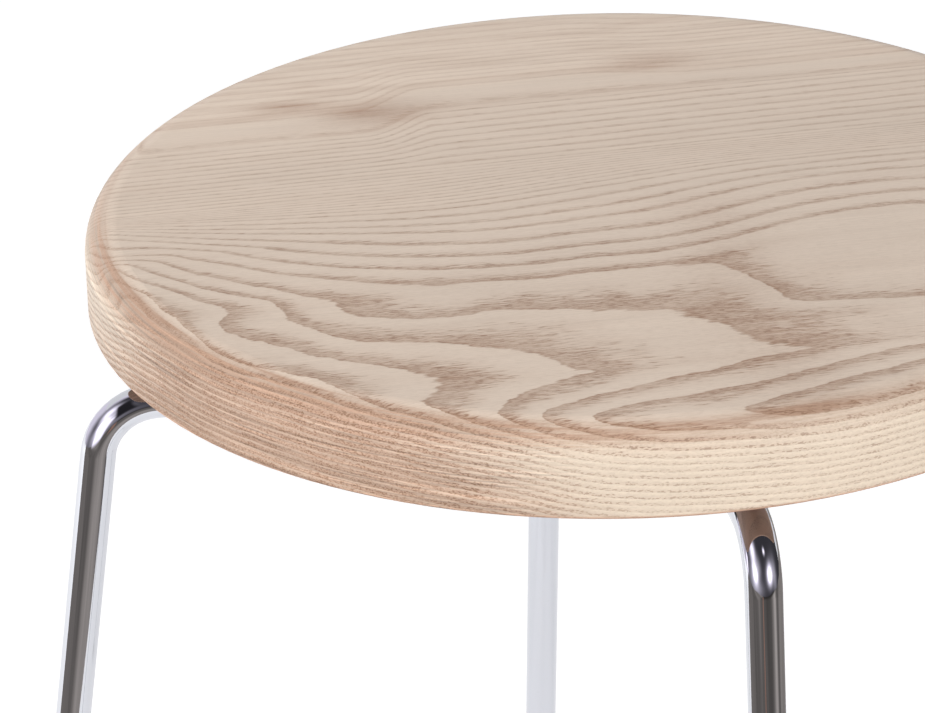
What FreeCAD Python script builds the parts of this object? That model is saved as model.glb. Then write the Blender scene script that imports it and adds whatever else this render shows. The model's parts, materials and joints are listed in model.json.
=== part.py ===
import FreeCAD, Part
import os
from math import cos, radians, sin, sqrt, tan

# Low stool: a round ash seat on two chromed steel tubes that cross under it.
# Lengths are in millimetres and angles in degrees. +Z is up, and the origin is on the
# floor under the middle of the seat. The upper tube runs from the front (-Y) to the
# back (+Y), and the lower tube from the left (-X) to the right (+X).

# Whole stool
stool_height = 440.0

# Seat board
seat_diameter = 350.0
seat_thickness = 30.0
rim_round = 11.0              # rounding of the upper edge
lower_chamfer = 0.8           # broken lower edge

# Leg tubes: each one is an upside-down U of one tube
tube_diameter = 12.0
tube_wall = 1.5
bend_radius = 20.0            # to the centre line
splay_angle = 8.0             # of each leg from upright
leg_inset = 1.5               # from the rim in to where a run and its leg would meet
tube_offset = 12.0            # each tube passes this far beside the middle of the seat

# Weld where the tubes cross
weld_gap = 0.3                # between the two tubes, filled by the bead
weld_inset = 1.0              # the bead stays this far inside the side of a tube

# Saddles between the tubes and the seat
seat_gap = 5.0                # between the upper tube and the seat
saddle_length = 24.0          # along the tube
saddle_lip = 2.0              # beside the tube
saddle_wrap = 3.0             # down the side of the tube
saddle_draft = 3.0            # taper of the moulding
fixing_inset = 65.0           # from the rim in to each screw

# Seat screws: button heads with a hexagon socket
screw_diameter = 5.0
screw_clearance = 0.25        # round the screw in tubes, saddles and washers
screw_engagement = 10.0       # length inside the seat
screw_point = 0.6             # chamfer of the tip
head_diameter = 9.5
head_height = 2.75
head_rim = 0.6                # straight side of the head under its dome
head_top_diameter = 5.0       # flat end of the dome, round the socket
socket_flats = 3.0
socket_depth = 1.6

# Washers, hollowed to fit the underside of a tube
washer_diameter = 11.0
washer_thickness = 1.2        # under the lowest line of the tube
washer_wrap = 1.8             # up the side of the tube

# Threaded inserts in blind holes in the seat
insert_diameter = 8.0
insert_length = 12.0
flange_diameter = 11.0
flange_thickness = 1.0
insert_clearance = 0.1        # round the insert in its hole
thread_clearance = 0.1        # round the screw in the insert
hole_end_gap = 2.0            # between the insert and the end of its blind hole

# Foot glides: a ribbed plug in each leg, a collar round its end and a level sole
glide_diameter = 14.0
glide_height = 6.0            # along the leg, from the floor to the end of the tube
sole_height = 1.0
sole_inset = 0.5              # from the collar in to the top of the sole
sole_taper = 0.5              # from the top of the sole in to the floor
plug_length = 16.0
plug_clearance = 0.1          # round the ribs in the tube
rib_depth = 0.5
rib_count = 3

# One overrun for every cut that goes right through
overrun = 1.0

tube_radius = tube_diameter / 2
bore_radius = tube_radius - tube_wall
seat_radius = seat_diameter / 2
screw_radius = screw_diameter / 2
clear_radius = screw_radius + screw_clearance
seat_underside = stool_height - seat_thickness
leg_reach = seat_radius - leg_inset
fixing_reach = seat_radius - fixing_inset
splay = radians(splay_angle)
bend_turn = radians(90.0) - splay
bend_start = leg_reach - bend_radius * tan(bend_turn / 2)
upper_run = seat_underside - seat_gap - tube_radius
lower_run = upper_run - tube_diameter - weld_gap
tube_end_height = glide_height * cos(splay)

ORIGIN = FreeCAD.Vector(0, 0, 0)
ALONG_X = FreeCAD.Vector(1, 0, 0)
ALONG_Y = FreeCAD.Vector(0, 1, 0)
UP = FreeCAD.Vector(0, 0, 1)
Vector = FreeCAD.Vector

# Each tube: height of its run, turn about Z from its own X axis, and its shift from the middle.
# Each end: side on the tube's own X axis.
tubes = {
    "upper": {"run": upper_run, "turn": 90.0, "shift": Vector(tube_offset, 0, 0)},
    "lower": {"run": lower_run, "turn": 0.0, "shift": Vector(0, -tube_offset, 0)},
}
ends = {
    "front": ("upper", -1),
    "back": ("upper", 1),
    "left": ("lower", -1),
    "right": ("lower", 1),
}


def on_tube(shape, tube, x=0, z=0):
    """Carries a shape from a tube's own frame, at x along it and z up, to the stool."""
    shape.translate(Vector(x, 0, z))
    shape.rotate(ORIGIN, UP, tube["turn"])
    shape.translate(tube["shift"])
    return shape


def upright(radius, low, high):
    """Cylinder about the local Z axis between two heights."""
    return Part.makeCylinder(radius, high - low, Vector(0, 0, low))


def level_rod(radius, length, height):
    """Cylinder along the local X axis, centred on the origin, at a height."""
    return Part.makeCylinder(radius, length, Vector(-length / 2, 0, height), ALONG_X)


def turned(points_and_arcs):
    """Solid of revolution about Z from a closed outline of edges in the XZ plane."""
    return Part.Face(Part.Wire(points_and_arcs)).revolve(ORIGIN, UP, 360)


def line(start, end):
    return Part.LineSegment(start, end).toShape()


def polygon_edges(points):
    return [line(start, end) for start, end in zip(points, points[1:] + points[:1])]


def seat():
    """Round board with a soft upper edge and blind holes for the inserts below."""
    middle_low = Vector(0, 0, seat_underside)
    middle_top = Vector(0, 0, stool_height)
    chamfer_low = Vector(seat_radius - lower_chamfer, 0, seat_underside)
    side_low = Vector(seat_radius, 0, seat_underside + lower_chamfer)
    side_top = Vector(seat_radius, 0, stool_height - rim_round)
    top_edge = Vector(seat_radius - rim_round, 0, stool_height)
    round_middle = Vector(top_edge.x, 0, side_top.z) + Vector(1, 0, 1).normalize() * rim_round
    board = turned([
        line(middle_low, chamfer_low),
        line(chamfer_low, side_low),
        line(side_low, side_top),
        Part.Arc(side_top, round_middle, top_edge).toShape(),
        line(top_edge, middle_top),
        line(middle_top, middle_low),
    ])
    hole_radius = insert_diameter / 2 + insert_clearance
    sink_radius = flange_diameter / 2 + insert_clearance
    hole_depth = insert_length + hole_end_gap
    holes = []
    for tube_name, side in ends.values():
        hole = upright(hole_radius, -overrun, hole_depth)
        sink = upright(sink_radius, -overrun, flange_thickness)
        holes.append(on_tube(hole.fuse(sink), tubes[tube_name], side * fixing_reach, seat_underside))
    return board.cut(holes)


def tube_path(run_height):
    """Centre line of a bent tube in its own XZ plane: leg, bend, run, bend, leg."""
    foot_reach = leg_reach + (run_height - tube_end_height) * tan(splay)

    def bend_point(side, angle):
        x = bend_start + bend_radius * sin(angle)
        drop = bend_radius * (1 - cos(angle))
        return Vector(side * x, 0, run_height - drop)

    def half(side):
        foot = Vector(side * foot_reach, 0, tube_end_height)
        return [foot] + [bend_point(side, bend_turn * step / 2) for step in (2, 1, 0)]

    foot_1, low_1, middle_1, run_1 = half(-1)
    foot_2, low_2, middle_2, run_2 = half(1)
    return Part.Wire([
        line(foot_1, low_1),
        Part.Arc(low_1, middle_1, run_1).toShape(),
        line(run_1, run_2),
        Part.Arc(run_2, middle_2, low_2).toShape(),
        line(low_2, foot_2),
    ])


def swept(path, radius):
    """Round bar along a path."""
    first = path.OrderedEdges[0]
    start = path.OrderedVertexes[0].Point
    section = Part.Wire(Part.Circle(start, first.tangentAt(first.FirstParameter), radius).toShape())
    return path.makePipeShell([section], True, False)


def leg_tube(tube):
    """Bent tube with a run and two splayed legs, drilled for its two screws."""
    path = tube_path(tube["run"])
    bent = swept(path, tube_radius).cut(swept(path, bore_radius))
    drills = []
    for side in (-1, 1):
        drill = upright(clear_radius, tube["run"] - tube_diameter, tube["run"] + tube_diameter)
        drill.translate(Vector(side * fixing_reach, 0, 0))
        drills.append(drill)
    return on_tube(bent.cut(drills), tube)


def crossing_weld():
    """Bead that fills the saddle-shaped gap where the tubes cross."""
    bead = upright(tube_radius - weld_inset, lower_run, upper_run)
    bead.translate(tubes["upper"]["shift"] + tubes["lower"]["shift"])
    rods = [on_tube(level_rod(tube_radius, seat_diameter, tube["run"]), tube) for tube in tubes.values()]
    return bead.cut(rods)


def slot_outline(length, width, height):
    """Closed outline with two straight sides and two round ends, at a height."""
    straight = (length - width) / 2
    half_width = width / 2
    corners = [Vector(x, y, height) for x, y in (
        (-straight, -half_width), (straight, -half_width), (straight, half_width), (-straight, half_width))]
    right_end = Vector(straight + half_width, 0, height)
    left_end = Vector(-straight - half_width, 0, height)
    return Part.Wire([
        line(corners[0], corners[1]),
        Part.Arc(corners[1], right_end, corners[2]).toShape(),
        line(corners[2], corners[3]),
        Part.Arc(corners[3], left_end, corners[0]).toShape(),
    ])


def saddle(tube, side):
    """Drafted block from the seat down to a tube, hollowed to sit on it."""
    gap = seat_underside - tube["run"] - tube_radius
    height = gap + saddle_wrap
    width = tube_diameter + 2 * saddle_lip
    growth = 2 * height * tan(radians(saddle_draft))
    block = Part.makeLoft([
        slot_outline(saddle_length, width, -height),
        slot_outline(saddle_length + growth, width + growth, 0),
    ], True, True)
    rod = level_rod(tube_radius, 2 * saddle_length, -gap - tube_radius)
    drill = upright(clear_radius, -height - overrun, overrun)
    return on_tube(block.cut([rod, drill]), tube, side * fixing_reach, seat_underside)


def washer(tube, side):
    """Round washer whose upper face is hollowed to the underside of a tube."""
    disc = upright(washer_diameter / 2, -washer_thickness, washer_wrap)
    rod = level_rod(tube_radius, 2 * washer_diameter, tube_radius)
    drill = upright(clear_radius, -washer_thickness - overrun, washer_wrap + overrun)
    return on_tube(disc.cut([rod, drill]), tube, side * fixing_reach, tube["run"] - tube_radius)


def hexagon(flats, low, high):
    """Hexagonal prism about Z between two heights."""
    corner_radius = flats / sqrt(3)
    angles = [radians(60 * corner) for corner in range(6)]
    corners = [Vector(corner_radius * cos(a), corner_radius * sin(a), low) for a in angles]
    return Part.Face(Part.Wire(polygon_edges(corners))).extrude(Vector(0, 0, high - low))


def screw(tube, side):
    """Button-head screw from under the washer up into the insert."""
    bearing = tube["run"] - tube_radius - washer_thickness
    shank_length = seat_underside - bearing + screw_engagement
    head_radius = head_diameter / 2
    # The dome is a ball through the edge of the rim and the edge of the flat end.
    rim_span = head_radius ** 2 + head_rim ** 2
    top_span = (head_top_diameter / 2) ** 2 + head_height ** 2
    dome_centre = (rim_span - top_span) / (2 * (head_height - head_rim))
    dome_radius = sqrt(head_radius ** 2 + (dome_centre + head_rim) ** 2)
    dome = Part.makeSphere(dome_radius, Vector(0, 0, dome_centre))
    head = upright(head_radius, -head_height, 0).common(dome)
    socket = hexagon(socket_flats, -head_height - overrun, socket_depth - head_height)
    shank = turned(polygon_edges([
        ORIGIN,
        Vector(screw_radius, 0, 0),
        Vector(screw_radius, 0, shank_length - screw_point),
        Vector(screw_radius - screw_point, 0, shank_length),
        Vector(0, 0, shank_length),
    ]))
    return on_tube(head.cut(socket).fuse(shank).removeSplitter(), tube, side * fixing_reach, bearing)


def insert(tube, side):
    """Brass sleeve with a flange that lies flush with the underside of the seat."""
    sleeve = upright(insert_diameter / 2, 0, insert_length)
    flange = upright(flange_diameter / 2, 0, flange_thickness)
    thread = upright(screw_radius + thread_clearance, -overrun, insert_length + overrun)
    body = sleeve.fuse(flange).cut(thread).removeSplitter()
    return on_tube(body, tube, side * fixing_reach, seat_underside)


def ribbed_plug():
    """Barbed plug that stands on the local origin and fits the bore of a tube."""
    tip_radius = bore_radius - plug_clearance
    core_radius = tip_radius - rib_depth
    pitch = plug_length / (rib_count + 1)
    outline = [ORIGIN, Vector(core_radius, 0, 0)]
    for rib in range(rib_count):
        barb = pitch * (rib + 1)
        outline += [
            Vector(core_radius, 0, barb),
            Vector(tip_radius, 0, barb),
            Vector(core_radius, 0, barb + pitch / 2),
        ]
    outline += [Vector(core_radius, 0, plug_length), Vector(0, 0, plug_length)]
    return turned(polygon_edges(outline))


def glide(tube, side):
    """Plastic foot: a plug in the end of a leg, a collar in line with the leg and a level sole."""
    collar_radius = glide_diameter / 2
    sole_radius = collar_radius - sole_inset

    def leg_x(height):
        return side * (leg_reach + (tube["run"] - height) * tan(splay))

    def to_leg(shape):
        shape.rotate(ORIGIN, ALONG_Y, -side * splay_angle)
        shape.translate(Vector(leg_x(tube_end_height), 0, tube_end_height))
        return shape

    collar = to_leg(upright(collar_radius, -glide_height - glide_diameter, 0))
    below_sole = upright(2 * glide_diameter, -2 * glide_diameter, sole_height)
    below_sole.translate(Vector(leg_x(0), 0, 0))
    sole = turned(polygon_edges([
        ORIGIN,
        Vector(sole_radius - sole_taper, 0, 0),
        Vector(sole_radius, 0, sole_height),
        Vector(0, 0, sole_height),
    ]))
    sole.translate(Vector(leg_x(sole_height), 0, 0))
    foot = collar.cut(below_sole).fuse([sole, to_leg(ribbed_plug())])
    return on_tube(foot.removeSplitter(), tube)


nodes = {
    "seat": seat(),
    "upper_leg_tube": leg_tube(tubes["upper"]),
    "lower_leg_tube": leg_tube(tubes["lower"]),
    "crossing_weld": crossing_weld(),
}
for end_name, (tube_name, side) in ends.items():
    for piece in (saddle, washer, screw, insert, glide):
        nodes[f"{piece.__name__}_{end_name}"] = piece(tubes[tube_name], side)

os.makedirs("parts", exist_ok=True)
for name, shape in nodes.items():
    shape.exportStep(f"parts/{name}.step")
    print(f"{name}: {len(shape.Solids)} solid, valid {shape.isValid()}, volume {shape.Volume:.1f}")
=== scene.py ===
import bpy
import json
from math import cos, pi, radians, sin, tan

from mathutils import Matrix, Vector


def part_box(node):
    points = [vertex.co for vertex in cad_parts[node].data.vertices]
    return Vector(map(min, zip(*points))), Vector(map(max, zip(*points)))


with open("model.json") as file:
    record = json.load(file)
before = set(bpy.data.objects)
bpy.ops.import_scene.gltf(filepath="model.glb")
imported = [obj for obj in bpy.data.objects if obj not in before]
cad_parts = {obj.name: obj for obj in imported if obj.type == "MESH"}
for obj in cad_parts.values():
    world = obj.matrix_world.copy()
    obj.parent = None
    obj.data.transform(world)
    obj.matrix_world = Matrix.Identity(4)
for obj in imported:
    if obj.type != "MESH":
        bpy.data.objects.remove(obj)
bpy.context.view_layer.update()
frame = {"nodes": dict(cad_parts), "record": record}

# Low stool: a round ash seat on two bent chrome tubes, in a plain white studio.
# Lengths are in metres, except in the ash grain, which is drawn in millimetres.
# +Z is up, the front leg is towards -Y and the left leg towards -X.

MILLIMETRES = 1000.0
DEGREES = 180 / pi
MIX_FIRST, MIX_SECOND, MIX_RESULT = 6, 7, 2     # where a Mix node keeps its colours

seat_low, seat_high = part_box("seat")
seat_top = seat_high.z
seat_centre = Vector((0, 0, seat_top))
seat_radius = (seat_high.x - seat_low.x) / 2

tube_radius = 0.006
bend_radius = 0.020
leg_splay = radians(8)
leg_inset = 0.0015          # from the rim of the seat to where a run and its leg would meet
bend_angle = pi / 2 - leg_splay
bend_start = seat_radius - leg_inset - bend_radius * tan(bend_angle / 2)


# Shader building

class Field:
    """A number or vector that changes over a surface: a node's output, with arithmetic."""

    def __init__(self, tree, socket):
        self.tree = tree
        self.socket = socket

    def maths(self, operation, *others):
        node = self.tree.nodes.new("ShaderNodeMath")
        node.operation = operation
        for place, value in enumerate((self,) + others):
            connect(self.tree, value, node.inputs[place])
        return Field(self.tree, node.outputs["Value"])

    def __add__(self, other):
        return self.maths("ADD", other)

    def __radd__(self, other):
        return self.maths("ADD", other)

    def __sub__(self, other):
        return self.maths("SUBTRACT", other)

    def __rsub__(self, other):
        return (self * -1) + other

    def __mul__(self, other):
        return self.maths("MULTIPLY", other)

    def __rmul__(self, other):
        return self.maths("MULTIPLY", other)

    def __truediv__(self, other):
        return self.maths("DIVIDE", other)

    def __pow__(self, other):
        return self.maths("POWER", other)

    def at_least(self, limit):
        return self.maths("MAXIMUM", limit)

    def at_most(self, limit):
        return self.maths("MINIMUM", limit)

    def size(self):
        return self.maths("ABSOLUTE")

    def fraction(self):
        return self.maths("FRACT")

    def between(self, start, end, low=0.0, high=1.0, smooth=True):
        """Goes from low to high as this goes from start to end, and stays there."""
        node = self.tree.nodes.new("ShaderNodeMapRange")
        node.interpolation_type = "SMOOTHSTEP" if smooth else "LINEAR"
        given = {"Value": self, "From Min": start, "From Max": end, "To Min": low, "To Max": high}
        for name, value in given.items():
            connect(self.tree, value, node.inputs[name])
        return Field(self.tree, node.outputs["Result"])

    def hill(self, middle, width):
        """1 at the middle, falling to nearly 0 at twice the width."""
        away = (self - middle) / width
        return (away * away * -1).maths("EXPONENT")


def connect(tree, value, socket):
    """Sets a socket to a plain value, or links a field or another socket to it."""
    if isinstance(value, Field):
        value = value.socket
    if isinstance(value, bpy.types.NodeSocket):
        tree.links.new(value, socket)
    else:
        socket.default_value = value


def place(tree, kind, output, settings=None, **inputs):
    """Adds a node and gives one of its outputs. An input's name has _ for each space."""
    node = tree.nodes.new(kind)
    for name, value in (settings or {}).items():
        setattr(node, name, value)
    for name, value in inputs.items():
        connect(tree, value, node.inputs[name.replace("_", " ")])
    return Field(tree, node.outputs[output])


def split(vector):
    """The X, Y and Z of a vector field."""
    node = vector.tree.nodes.new("ShaderNodeSeparateXYZ")
    connect(vector.tree, vector, node.inputs["Vector"])
    return [Field(vector.tree, node.outputs[axis]) for axis in "XYZ"]


def scaled(vector, scale):
    node = vector.tree.nodes.new("ShaderNodeVectorMath")
    node.operation = "MULTIPLY"
    connect(vector.tree, vector, node.inputs[0])
    node.inputs[1].default_value = scale
    return Field(vector.tree, node.outputs["Vector"])


def noise(vector, scale, detail=2.0, roughness=0.5):
    """Soft random field from 0 to 1, with its own scale along each axis."""
    return place(vector.tree, "ShaderNodeTexNoise", "Fac", Vector=scaled(vector, scale),
                 Scale=1.0, Detail=detail, Roughness=roughness)


def mixed(amount, first, second):
    """Colour from the first to the second."""
    node = amount.tree.nodes.new("ShaderNodeMix")
    node.data_type = "RGBA"
    connect(amount.tree, amount, node.inputs["Factor"])
    connect(amount.tree, first, node.inputs[MIX_FIRST])
    connect(amount.tree, second, node.inputs[MIX_SECOND])
    return Field(amount.tree, node.outputs[MIX_RESULT])


def dimmed(colour, amount):
    """The colour times a field."""
    node = amount.tree.nodes.new("ShaderNodeVectorMath")
    node.operation = "SCALE"
    connect(amount.tree, colour if isinstance(colour, Field) else colour[:3], node.inputs[0])
    connect(amount.tree, amount, node.inputs["Scale"])
    return Field(amount.tree, node.outputs["Vector"])


def group(name, inputs, outputs):
    """Starts a node group. Inputs have a kind and a default, and outputs a kind."""
    tree = bpy.data.node_groups.new(name, "ShaderNodeTree")
    for socket_name, (kind, default) in inputs.items():
        socket = tree.interface.new_socket(socket_name, in_out="INPUT", socket_type="NodeSocket" + kind)
        if default is not None:
            socket.default_value = default
    for socket_name, kind in outputs.items():
        tree.interface.new_socket(socket_name, in_out="OUTPUT", socket_type="NodeSocket" + kind)
    start = tree.nodes.new("NodeGroupInput")
    end = tree.nodes.new("NodeGroupOutput")
    given = {socket_name: Field(tree, start.outputs[socket_name]) for socket_name in inputs}
    return tree, given, end


def use(tree, node_group, **inputs):
    """Places a group in a material and gives its outputs by name."""
    node = tree.nodes.new("ShaderNodeGroup")
    node.node_tree = node_group
    for name, value in inputs.items():
        connect(tree, value, node.inputs[name.replace("_", " ")])
    return {socket.name: Field(tree, socket) for socket in node.outputs}


def material(name):
    """A new material, with its tree, its Principled shader and the place on the object."""
    made = bpy.data.materials.new(name)
    made.use_nodes = True
    tree = made.node_tree
    shader = tree.nodes["Principled BSDF"]
    position = place(tree, "ShaderNodeTexCoord", "Object")
    return made, tree, shader, position


def bump(tree, height, strength, distance):
    return place(tree, "ShaderNodeBump", "Normal", Height=height, Strength=strength, Distance=distance)


# Ash

pale_ash = (0.668, 0.552, 0.455, 1.0)           # the top
cream_ash = (0.658, 0.562, 0.453, 1.0)          # the side, at the right
tan_ash = (0.430, 0.306, 0.228, 1.0)            # the side, at the left
under_ash = (0.530, 0.310, 0.205, 1.0)          # the underside and its lower edge
band_brown = (0.400, 0.262, 0.187, 1.0)         # the dark band of each ring, and the rounded edge
pore_brown = (0.270, 0.158, 0.100, 1.0)
side_pore_brown = (0.280, 0.185, 0.130, 1.0)    # pores on the cream side

# Distance behind the board's heart line where the growth rings change their pace, and the
# change in rings per millimetre there.
ring_paces = ((0, 0.017), (37, 0.024), (71, 0.050), (82, 0.013), (111, 0.047), (131, 0.100),
              (137, 0.110), (168, -0.097), (203, -0.2114), (222, 0.140))
ring_depth = 2.3         # millimetres of board under each ring of the top
heart_line = 129         # millimetres from the heart line to the middle of the seat
first_ring = 20          # the count at the heart line


def ash_rings():
    """Growth rings of a flat-sawn board, as a count that grows by one from ring to ring.

    Position is in millimetres, with Z as the depth under the top of the seat. The heart line
    runs along X near the front, and the rings cross it as pointed arches.
    """
    tree, given, end = group("ash_rings", {"Position": ("Vector", None)},
                             {"Rings": "Float", "Front": "Float", "Wide Ring": "Float", "Rear": "Float",
                              "Soft Lines": "Float"})
    x, y, depth = split(given["Position"])

    # The lines in the middle crowd together towards the left edge.
    crowding = (((-40 - x) / 124).at_least(0) ** 1.25 * 0.75).at_most(0.8)
    crowding = crowding / (1 - crowding)
    level = y - (crowding * (18 - y).at_least(0).at_most(34)).maths("SMOOTH_MIN", 44, 30)

    # They swell up at the right, and the fine lines behind them give way.
    swell = 0.31 * x.between(5, 85) * x.between(165, 86)
    level = level - swell * (25 - y).at_least(0).at_most(60) * y.between(-98, -45)
    level = level - 12 * x.between(-80, 60) * y.between(-40, 12) * y.between(42, 20)

    # Behind a kink on the left all lines lie higher, and the wide ring narrows at the right.
    level = level - 15 * x.between(-72, -46) * y.between(38, 84, smooth=False) * y.between(150, 105)
    level = level + 9 * x.between(8, 55) * y.between(86, 104)

    # Behind the heart line the rings follow each other at the paces above, and in front evenly.
    from_heart = level + heart_line - 0.03 * x
    behind = from_heart.at_least(0)
    before = (from_heart * -1).at_least(0)
    rings = before * 0.05
    for start, pace in ring_paces:
        rings = rings + (behind - start).at_least(0) * pace

    # Along the heart line the rings rise to the right, and one has a wide pale lens.
    rise = (x + 36).at_most(0) * 0.0244 + (x + 36).at_least(0).maths("SMOOTH_MIN", 132, 30) * 0.0139
    rings = rings + rise * behind.between(80, 10) * (1 + 0.03 * before)
    rings = rings + 0.95 * x.between(18, 48) * behind.between(24, 38) * behind.between(84, 60)
    rings = rings + 0.6 * x.between(-68, -44) * x.between(8, -30) * before.between(10, 30)

    # On the left the arches fan out from the edge and bend down along it.
    one_more = x.between(-40, -105) * x.between(-165, -140)
    rings = rings + one_more * y.between(-57, -76) * y.between(-128, -88)
    fan = ((-142 - x) / 28).at_least(0) ** 1.3 * 2.6
    rings = rings - fan * y.between(-66, -42) * y.between(-8, -22) * depth.between(7, 1)

    # Slow waves, bends in the arches, and fine teeth where a ring is cut at a flat angle.
    front = y.between(-30, -60)
    waves = noise(given["Position"], (1 / 60, 1 / 30, 1 / 30), 2) - 0.5
    bends = noise(given["Position"], (1 / 26, 1 / 22, 1 / 22), 2) - 0.5
    teeth = noise(given["Position"], (1 / 7, 1 / 1.2, 1 / 1.2), 2) - 0.5
    rings = rings + waves * 0.32 + bends * front * x.between(-80, -125, 0.5, 0.9) + teeth * 0.17
    rings = rings + (first_ring - depth / ring_depth)
    connect(tree, rings, end.inputs["Rings"])
    connect(tree, front, end.inputs["Front"])
    connect(tree, behind.between(199, 205) * behind.between(224, 218), end.inputs["Wide Ring"])
    connect(tree, behind.between(216, 228), end.inputs["Rear"])
    soft_lines = behind.hill(203, 2.5) * x.between(-80, -50) + behind.hill(226, 3)
    connect(tree, soft_lines, end.inputs["Soft Lines"])
    return tree


def ash():
    """Ash with rings and open pores. The rounded edge and the left of the side are browner."""
    made, tree, shader, position = material("ash")
    x, y, z = split(scaled(position, (MILLIMETRES,) * 3))
    depth = seat_top * MILLIMETRES - z
    grain = place(tree, "ShaderNodeCombineXYZ", "Vector", X=x, Y=y, Z=depth)
    drawn = use(tree, ash_rings(), Position=grain)
    front, rear = drawn["Front"], drawn["Rear"]
    phase = drawn["Rings"].fraction()
    side = depth.between(0.5, 6)
    brown_end = side * (x - 46 - depth).size().between(95, 165) * (x + 0.5 * depth).between(-176, -146)
    pale_side = side * (1 - brown_end)
    underside = depth.between(28.5, 29.5)

    # Each ring starts with a crisp edge and a dark band of open pores.
    width = 0.22 + 0.11 * front - 0.10 * drawn["Wide Ring"] + 0.30 * brown_end
    behind_edge = phase - width
    ragged = (noise(grain, (1 / 9, 1 / 0.8, 1 / 0.8), 2) - 0.5) * (0.8 + 0.5 * front)
    soft = y.between(-90, 70) * (1 - side)
    start = soft * 0.15 + 0.03
    band = phase.between(0, start, smooth=False) * (behind_edge + ragged).between(0.14, -0.06)
    edge = phase.between(0, start, smooth=False) * phase.between(0.09, 0.04) * (1 - soft * 0.8)
    haze = behind_edge.between(0.5, 0.0) * (0.10 + 0.07 * front) + 0.03 * front

    # Pores are short dark strokes along the grain, and dots where the grain ends.
    strokes = noise(grain, (1 / 3.6, 1 / 0.36, 1 / 0.36), 2).between(0.50, 0.57)
    dots = noise(grain, (1 / 1.2, 1 / 0.5, 1 / 0.42), 2).between(0.49, 0.57)
    pores = strokes * (1 - side) * (1 - soft * 0.5) + dots * side

    # Three smudges near the back, a brown island on the front edge, and thin layers down the side.
    smudges = 0.7 * x.hill(-66, 17) * y.hill(89, 9) + 0.6 * x.hill(-94, 13) * y.hill(101, 4.5)
    smudges = smudges + 0.55 * x.hill(38, 16) * y.hill(113, 5.5)
    smudges = smudges * (0.4 + 1.2 * noise(grain, (1 / 30, 1 / 2.5, 1 / 2.5), 2))
    patch = x.hill(28, 17) * depth.hill(1.1, 0.9) * y.between(0, -10)
    layers = noise(grain, (1 / 50, 1 / 50, 1 / 0.6), 2)
    round_edge = depth.between(0.1, 1.0) * depth.between(10, 2.5) * (0.95 - 0.52 * x.between(-80, 40))
    round_edge = round_edge * y.between(60, -40, 0.4, 1.0) * layers.between(0.35, 0.65, 0.55, 1.35)
    streaks = noise(grain, (1 / 60, 1 / 6, 1 / 6), 3).between(0.44, 0.68) * (0.07 + 0.14 * rear)
    streaks = streaks + drawn["Soft Lines"] * 0.16

    # The rings are fainter towards the back, among the fine lines, and on the far left of the rim.
    fine_lines = y.hill(24, 16)
    fading = noise(grain, (1 / 28, 1 / 7, 1 / 7), 2).between(0.35, 0.65, 0.60, 1.15)
    strength = y.between(-60, 120, 1.0, 0.75) * (1 - 0.15 * fine_lines) * (1 - 0.55 * rear) * fading
    plain_rim = x.between(-135, -150) * y.between(-108, -84) * depth.between(0.2, 1.5) * depth.between(9, 6)
    strength = strength * (1 - 0.85 * plain_rim)

    # Tint colours the bands, and ink fills the pores.
    fainter = 1 - 0.8 * pale_side
    tint = (band * 0.34 * (fainter + 0.9 * brown_end) + edge * (0.35 - 0.15 * front) * fainter) * strength
    tint = tint + haze + smudges + patch * 0.6 + streaks * (1 - side)
    tint = tint + round_edge * (0.74 + 0.15 * plain_rim)
    ink = band * strength * (0.62 - 0.20 * pale_side + 0.35 * brown_end) + round_edge * (0.20 + 0.60 * band)
    ink = pores * (ink + smudges * 0.5 + patch * 0.4 + 0.10)

    fibres = noise(grain, (1 / 45, 1 / 0.6, 1 / 0.6), 3)
    cloud = noise(grain, (1 / 90, 1 / 30, 1 / 30), 2)
    colour = mixed(pale_side, pale_ash, cream_ash)
    colour = mixed(brown_end * 0.85, colour, tan_ash)
    colour = mixed(underside, colour, under_ash)
    colour = mixed(tint.at_most(1), colour, band_brown)
    colour = mixed(ink.at_most(1), colour, mixed(pale_side, pore_brown, side_pore_brown))
    lines_of_left_rim = (layers - 0.5) * x.between(-30, -80) * depth.between(0, 3) * 1.6
    tone = 1 + (fibres - 0.5) * 0.20 + (cloud - 0.5) * 0.12 + lines_of_left_rim
    tone = tone + 0.06 * rear + 0.05 * y.between(30, 90)
    connect(tree, dimmed(colour, tone), shader.inputs["Base Color"])
    connect(tree, 0.50 - 0.1 * fibres + 0.15 * band, shader.inputs["Roughness"])
    height = fibres * 0.15 - ink
    connect(tree, bump(tree, height, 0.4, 0.0002), shader.inputs["Normal"])
    shader.inputs["Specular IOR Level"].default_value = 0.35
    return made


# Metals

def handling_marks():
    """Faint smears and fine dust on polished metal, as extra roughness and a dulling mask."""
    tree, given, end = group("handling_marks", {"Position": ("Vector", None), "Roughness": ("Float", 0.05),
                                                "Marks": ("Float", 0.5)},
                             {"Roughness": "Float", "Dulling": "Float"})
    smears = noise(given["Position"], (9, 9, 4), 4, 0.6).between(0.45, 0.75)
    dust = noise(given["Position"], (900, 900, 900), 1).between(0.68, 0.78)
    dulling = (smears * 0.6 + dust * 0.4) * given["Marks"]
    connect(tree, given["Roughness"] + dulling * 0.08, end.inputs["Roughness"])
    connect(tree, dulling, end.inputs["Dulling"])
    return tree


chrome_bright = (0.575, 0.585, 0.630, 1.0)
chrome_dull = (0.500, 0.515, 0.535, 1.0)
chrome_roughness = 0.03
chrome_marks = 0.5


def metal(name, marks_group, bright, dull, roughness, marks):
    """Bare or plated metal, duller and rougher where it has been touched."""
    made, tree, shader, position = material(name)
    marked = use(tree, marks_group, Position=position, Roughness=roughness, Marks=marks)
    connect(tree, mixed(marked["Dulling"], bright, dull), shader.inputs["Base Color"])
    connect(tree, marked["Roughness"], shader.inputs["Roughness"])
    shader.inputs["Metallic"].default_value = 1.0
    return made


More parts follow.
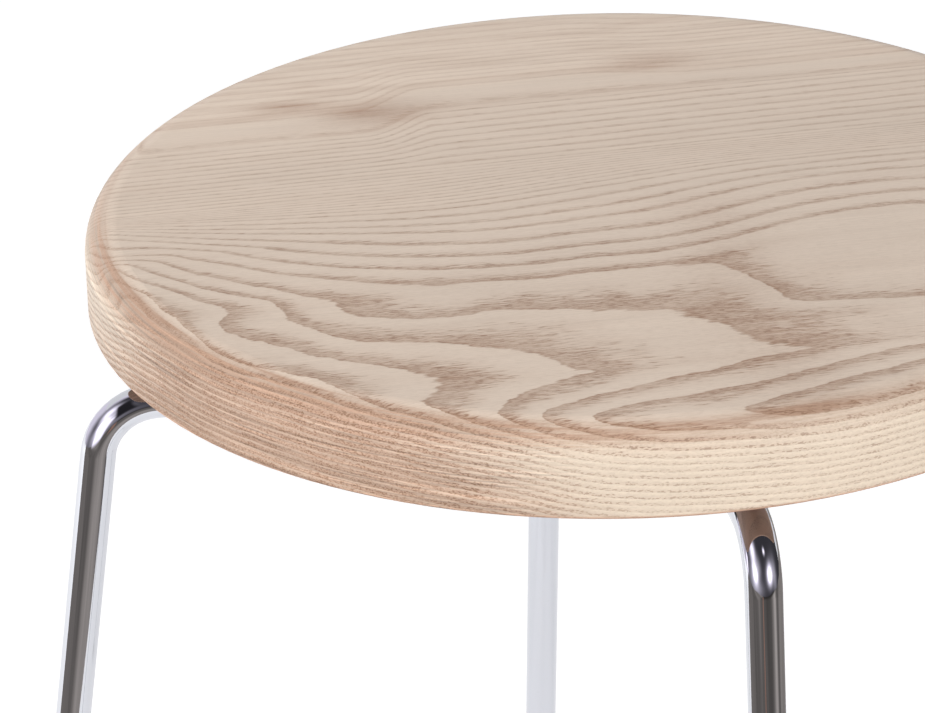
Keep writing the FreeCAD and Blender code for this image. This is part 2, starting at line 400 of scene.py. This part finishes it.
def tube_round():
    """Exact normal of a bent tube, so that the chrome reflects smoothly.

    Place is in metres: X along the tube's run, Y across it and Z up, from the middle of the run.
    """
    tree, given, end = group("tube_round", {"Place": ("Vector", None), "Half Run": ("Float", 0.1),
                                            "Bend Radius": ("Float", 0.02), "Bend Angle": ("Float", 1.4)},
                             {"Normal": "Vector"})
    along, across, up = split(given["Place"])
    out = along.size() - given["Half Run"]
    over = up + given["Bend Radius"]
    angle = out.maths("ARCTAN2", over).at_least(0).at_most(given["Bend Angle"])
    outwards, upwards = angle.maths("SINE"), angle.maths("COSINE")
    height = out * outwards + over * upwards - given["Bend Radius"]
    normal = place(tree, "ShaderNodeCombineXYZ", "Vector", X=height * outwards * along.maths("SIGN"),
                   Y=across, Z=height * upwards)
    connect(tree, normal, end.inputs["Normal"])
    return tree


def chrome(name, node, along_x, marks_group, round_group):
    """Chrome for one leg tube, whose run lies along X or along Y."""
    made = metal(name, marks_group, chrome_bright, chrome_dull, chrome_roughness, chrome_marks)
    tree = made.node_tree
    low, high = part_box(node)
    middle = (low + high) / 2
    x, y, z = split(place(tree, "ShaderNodeTexCoord", "Object"))
    up = z - (high.z - tube_radius)
    along, across = (x - middle.x, y - middle.y) if along_x else (y - middle.y, x - middle.x)
    spot = place(tree, "ShaderNodeCombineXYZ", "Vector", X=along, Y=across, Z=up)
    turned = use(tree, round_group, Place=spot, Half_Run=bend_start, Bend_Radius=bend_radius,
                 Bend_Angle=bend_angle)["Normal"]
    along, across, up = split(turned)
    x, y = (along, across) if along_x else (across, along)
    normal = place(tree, "ShaderNodeCombineXYZ", "Vector", X=x, Y=y, Z=up)
    world = place(tree, "ShaderNodeVectorTransform", "Vector",
                  {"vector_type": "NORMAL", "convert_from": "OBJECT", "convert_to": "WORLD"}, Vector=normal)
    connect(tree, world, tree.nodes["Principled BSDF"].inputs["Normal"])
    return made


# Plastics

def moulded_skin():
    """Fine grain of a moulded surface, as a tone and a height."""
    tree, given, end = group("moulded_skin", {"Position": ("Vector", None), "Grain": ("Float", 1800.0)},
                             {"Tone": "Float", "Height": "Float"})
    spots = place(tree, "ShaderNodeTexNoise", "Fac", Vector=given["Position"], Scale=given["Grain"],
                  Detail=2.0, Roughness=0.6)
    cloud = noise(given["Position"], (60, 60, 60), 2)
    connect(tree, spots * 0.5 + cloud * 0.5, end.inputs["Tone"])
    connect(tree, spots, end.inputs["Height"])
    return tree


def plastic(name, skin, dark, light, roughness):
    """Moulded plastic, mottled from dark to light."""
    made, tree, shader, position = material(name)
    grained = use(tree, skin, Position=position)
    connect(tree, mixed(grained["Tone"], dark, light), shader.inputs["Base Color"])
    connect(tree, grained["Tone"] * 0.15 + roughness, shader.inputs["Roughness"])
    connect(tree, bump(tree, grained["Height"], 0.3, 0.00005), shader.inputs["Normal"])
    return made


marks = handling_marks()
skin = moulded_skin()
roundness = tube_round()
finishes = {
    "ash": ash(),
    "weld": metal("weld", marks, (0.70, 0.70, 0.71, 1), (0.50, 0.48, 0.46, 1), 0.16, 1.0),
    "screw_steel": metal("screw_steel", marks, (0.66, 0.67, 0.69, 1), (0.55, 0.55, 0.54, 1), 0.18, 0.9),
    "brass": metal("brass", marks, (0.78, 0.62, 0.32, 1), (0.60, 0.46, 0.24, 1), 0.20, 0.9),
    "saddle_plastic": plastic("saddle_plastic", skin, (0.045, 0.045, 0.048, 1), (0.075, 0.075, 0.080, 1),
                              0.45),
    "glide_plastic": plastic("glide_plastic", skin, (0.080, 0.080, 0.083, 1), (0.125, 0.125, 0.130, 1),
                             0.50),
}
tube_finishes = {
    "upper_leg_tube": chrome("chrome_upper", "upper_leg_tube", False, marks, roundness),
    "lower_leg_tube": chrome("chrome_lower", "lower_leg_tube", True, marks, roundness),
}
for part in frame["record"]["subparts"]:
    finish = tube_finishes.get(part["node"]) or finishes[part["material_slot"]]
    frame["nodes"][part["node"]].material_slots[0].material = finish


# Studio

floor_reach = 15.0
floor_dark = (0.59, 0.59, 0.59, 1)
floor_pale = (0.61, 0.61, 0.61, 1)
ambient_light = 0.28
room_reach = 3.0            # from the stool to the front and the side walls
room_height = 2.4
left_wall_end = 6.0
right_wall_end = 1.0        # the ceiling ends there too
card_height = 0.002         # the floor cards lie just over the floor
strip_height = 0.003
front_card_edge = -0.42     # where the front floor card ends
near_card_distance = 0.13
softbox_side = 0.8
softbox_distance = 2.4
softbox_elevation = 22      # degrees over the seat
warm = (1.0, 0.90, 0.83, 1)
cool = (0.94, 0.88, 1.0, 1)
brown = (1.0, 0.58, 0.44, 1)


def rectangle(left, front, right, back, height):
    """Corners of a level rectangle."""
    return [(left, front, height), (right, front, height), (right, back, height), (left, back, height)]


def towards(azimuth, elevation, distance, start):
    """The point at a distance from the start, at an azimuth and an elevation in degrees."""
    azimuth, elevation = radians(azimuth), radians(elevation)
    level = distance * cos(elevation)
    return start + Vector((level * cos(azimuth), level * sin(azimuth), distance * sin(elevation)))


def sheet(name, corners, faces=None):
    """A flat sheet of the studio through its corners, or several joined ones."""
    mesh = bpy.data.meshes.new(name)
    mesh.from_pydata(corners, [], faces or [tuple(range(len(corners)))])
    made = bpy.data.objects.new(name, mesh)
    bpy.context.scene.collection.objects.link(made)
    return made


def seen_by_eye_or_metal(tree):
    """1 for rays from the camera, off metal or through glass."""
    path = tree.nodes.new("ShaderNodeLightPath")
    camera, glossy, transmission = [Field(tree, path.outputs[name]) for name in
                                    ("Is Camera Ray", "Is Glossy Ray", "Is Transmission Ray")]
    return camera.at_least(glossy).at_least(transmission)


def white_floor():
    """A floor that looks white, and only a little darker round the feet."""
    floor = sheet("studio_floor", rectangle(-floor_reach, -floor_reach, floor_reach, floor_reach, 0))
    made, tree, shader, position = material("studio_floor")
    speckle = noise(position, (30, 30, 30), 3)
    connect(tree, mixed(speckle, floor_dark, floor_pale), shader.inputs["Base Color"])
    shader.inputs["Roughness"].default_value = 0.9
    shader.inputs["Specular IOR Level"].default_value = 0.1
    shader.inputs["Emission Color"].default_value = (1, 1, 1, 1)
    x, y, z = split(position)
    away = (x * x + y * y) ** 0.5
    white = seen_by_eye_or_metal(tree) * away.between(0.8, 3.0, 0.62, 1.0)
    connect(tree, white, shader.inputs["Emission Strength"])
    floor.data.materials.append(made)


def white_surroundings(ambient):
    """White to the eye and in metal, and a dimmer light on everything else."""
    world = bpy.data.worlds.new("studio")
    bpy.context.scene.world = world
    world.use_nodes = True
    tree = world.node_tree
    sky = tree.nodes["Background"]
    sky.inputs["Color"].default_value = (1, 1, 1, 1)
    strength = seen_by_eye_or_metal(tree).between(0, 1, ambient, 1.0, smooth=False)
    connect(tree, strength, sky.inputs["Strength"])


def painted_reflection_card(name, corners, paint, colour, faces=None, cover=None):
    """A card outside the picture that only metal shows, glowing with a painted reflection.

    Paint gives its brightness from the place on it, and cover how solid it is there.
    """
    card = sheet(name, corners, faces)
    made, tree, shader, position = material(name)
    shader.inputs["Base Color"].default_value = (0, 0, 0, 1)
    shader.inputs["Specular IOR Level"].default_value = 0.0
    shader.inputs["Emission Strength"].default_value = 1.0
    connect(tree, dimmed(colour, paint(position)), shader.inputs["Emission Color"])
    if cover:
        connect(tree, cover(position), shader.inputs["Alpha"])
    card.data.materials.append(made)
    card.visible_camera = card.visible_diffuse = card.visible_shadow = card.visible_transmission = False


def patchy_paint():
    """Uneven brightness of a card."""
    tree, given, end = group("patchy_paint", {"Position": ("Vector", None), "Brightness": ("Float", 1.0)},
                             {"Brightness": "Float"})
    cloud = noise(given["Position"], (3, 3, 3), 2)
    connect(tree, (0.7 + 0.6 * cloud) * given["Brightness"], end.inputs["Brightness"])
    return tree


patchy = patchy_paint()


def even(brightness):
    """Paint of about one brightness."""
    def paint(position):
        return use(position.tree, patchy, Position=position, Brightness=brightness)["Brightness"]
    return paint


def painted_floor_reflection(position):
    """Painted reflection of a grey floor, with the paler and darker sweeps that the left and the front leg
    show.
    """
    x, y, z = split(position)
    cloud = noise(position, (5, 5, 5), 2)
    from_left = (x + 0.20) / (0.02 - y)
    from_front = (x - 0.01) / (-0.1 - y)
    pale_sweep = from_left.between(-0.7, -0.1) * from_left.between(0.9, 0.4) * y.between(-1.1, -0.7)
    dark_sweep = from_front.between(-0.1, 0.1) * from_front.between(0.75, 0.5) * y.between(-0.7, -1.0)
    paint = 0.12 + 0.26 * pale_sweep - 0.05 * dark_sweep
    paint = paint + 0.42 * from_front.hill(1.15, 0.40) * x.between(0.3, 0.5)
    paint = paint + 0.15 * from_left.between(-0.3, -0.6) * y.between(-0.9, -1.5)
    near = 0.05 + paint * (0.6 + 0.8 * cloud) * y.between(-2.6, -1.5)
    return near + 0.30 * y.between(-1.7, -2.8) * x.between(-0.5, -1.2)


def painted_room_reflection(position):
    """Painted reflections: dim walls and ceiling with four painted softbox highlights and their glow, and a
    pale screen on the left.
    """
    x, y, z = split(position)
    turn = x.maths("ARCTAN2", y * -1) * DEGREES          # to the right of the front, seen from the seat
    rise = (z - seat_top).maths("ARCTAN2", (x * x + y * y) ** 0.5) * DEGREES

    def lit(middle_turn, middle_rise, width, height):
        return turn.hill(middle_turn, width) * rise.hill(middle_rise, height)

    # Painted softbox highlights with their glow, at the places where the legs show them.
    key = lit(31, 17, 13, 10) * 4.5 + lit(36, 18, 27, 15) * 0.35 + lit(59, 6, 12, 15) * 0.45
    left = lit(-56, 13, 13, 9) * 4.2 + lit(-40, 24, 17, 13) * 0.6 + lit(-54, 0, 34, 11) * 0.7
    upper_left = lit(-72, 32, 17, 12) * 2.3
    spot = lit(14, 50, 7, 4) * 2.4
    screen = turn.between(-85, -124)
    return (key + left + upper_left + spot + 0.06) * (1 - screen) + screen * 1.1


def softbox(name, azimuth, power):
    """A square lamp that lights the seat, from an azimuth in degrees."""
    lamp = bpy.data.lights.new(name, "AREA")
    lamp.shape = "RECTANGLE"
    lamp.size = lamp.size_y = softbox_side
    lamp.energy = power
    box = bpy.data.objects.new(name, lamp)
    box.visible_glossy = False
    box.location = towards(azimuth, softbox_elevation, softbox_distance, seat_centre)
    box.rotation_euler = (seat_centre - box.location).to_track_quat("-Z", "Y").to_euler()
    bpy.context.scene.collection.objects.link(box)


def stool_camera():
    """The photograph's view. Its place is given from the middle of the seat's top."""
    place_at = towards(azimuth=-101.202, elevation=23.711, distance=1.60625, start=seat_centre)
    look_angle = radians(80.757)
    look_down = radians(25.577)
    roll = radians(-1.370)
    camera_data = bpy.data.cameras.new("camera")
    camera_data.sensor_width = 36.0
    camera_data.lens = 187.73
    camera = bpy.data.objects.new("camera", camera_data)
    turn = Matrix.Rotation(look_angle - pi / 2, 4, "Z") @ Matrix.Rotation(pi / 2 - look_down, 4, "X")
    camera.matrix_world = Matrix.Translation(place_at) @ turn @ Matrix.Rotation(roll, 4, "Z")
    bpy.context.scene.collection.objects.link(camera)
    bpy.context.scene.camera = camera


white_floor()
white_surroundings(ambient_light)
# Glowing cards on the floor paint a grey floor into the reflections on the legs, and the strip paints a brown
# line there.
painted_reflection_card("floor_card_front", rectangle(-room_reach, -room_reach, room_reach, front_card_edge, card_height),
            painted_floor_reflection, warm)
left_card = [(-room_reach, front_card_edge), (-0.6, front_card_edge), (-0.6, 0.1), (-room_reach, 0.6)]
painted_reflection_card("floor_card_left", [(x, y, card_height) for x, y in left_card], even(0.23), warm)
painted_reflection_card("floor_card_right", rectangle(0.45, front_card_edge, room_reach, room_reach, card_height),
            even(0.33), warm)
strip = [(-0.36, -1.2), (-0.26, -1.2), (-0.62, -2.6), (-0.80, -2.6)]
painted_reflection_card("brown_strip", [(x, y, strip_height) for x, y in strip], even(0.40), brown)

# The painted reflection of a room has a front wall, a long left wall, a short right wall and a ceiling over
# the front.
room_corners = [(-room_reach, -room_reach, 0), (room_reach, -room_reach, 0),
                (room_reach, -room_reach, room_height), (-room_reach, -room_reach, room_height),
                (-room_reach, left_wall_end, 0), (-room_reach, left_wall_end, room_height),
                (room_reach, right_wall_end, 0), (room_reach, right_wall_end, room_height),
                (-room_reach, right_wall_end, room_height)]
room_faces = [(0, 1, 2, 3), (0, 4, 5, 3), (1, 6, 7, 2), (3, 2, 7, 8)]
painted_reflection_card("room", room_corners, painted_room_reflection, cool, room_faces)


def outside_of_left_bend():
    """The point halfway along the outside of the bend of the left leg."""
    low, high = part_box("lower_leg_tube")
    out = bend_radius + tube_radius
    outwards, upwards = out * sin(bend_angle / 2), out * cos(bend_angle / 2)
    return Vector((-bend_start - outwards, (low.y + high.y) / 2, high.z - out + upwards))


def near_card(name, azimuth, elevation, half_width, half_height, tilt, brightness):
    """A small card with soft edges that paints a reflection, which only the left bend shows much of."""
    bend = outside_of_left_bend()
    centre = towards(azimuth, elevation, near_card_distance, bend)
    aim = (bend - centre).normalized()
    level = aim.cross(Vector((0, 0, 1))).normalized()
    upright = level.cross(aim)
    tilt = radians(tilt)
    wide = (level * cos(tilt) + upright * sin(tilt)) * half_width
    tall = (upright * cos(tilt) - level * sin(tilt)) * half_height

    def cover(position):
        x, y, z = split(position)
        inside = 1.0
        for half_side in (wide, tall):
            across = (x - centre.x) * half_side.x + (y - centre.y) * half_side.y
            across = across + (z - centre.z) * half_side.z
            inside = (across / half_side.length_squared).size().between(1.0, 0.55) * inside
        return inside

    corners = [centre - wide - tall, centre + wide - tall, centre + wide + tall, centre - wide + tall]
    painted_reflection_card(name, corners, even(brightness), cool, cover=cover)


# A painted dark patch and a painted highlight in the reflection on the left bend.
near_card("painted_dark_patch", -116, 32, 0.085, 0.030, -56, 0.025)
near_card("painted_highlight_patch", -134, 2, 0.052, 0.042, 0, 1.9)

softbox("key_softbox", azimuth=-88, power=53.0)
softbox("left_softbox", azimuth=172, power=45.0)
stool_camera()
bpy.context.scene.view_settings.view_transform = "Standard"
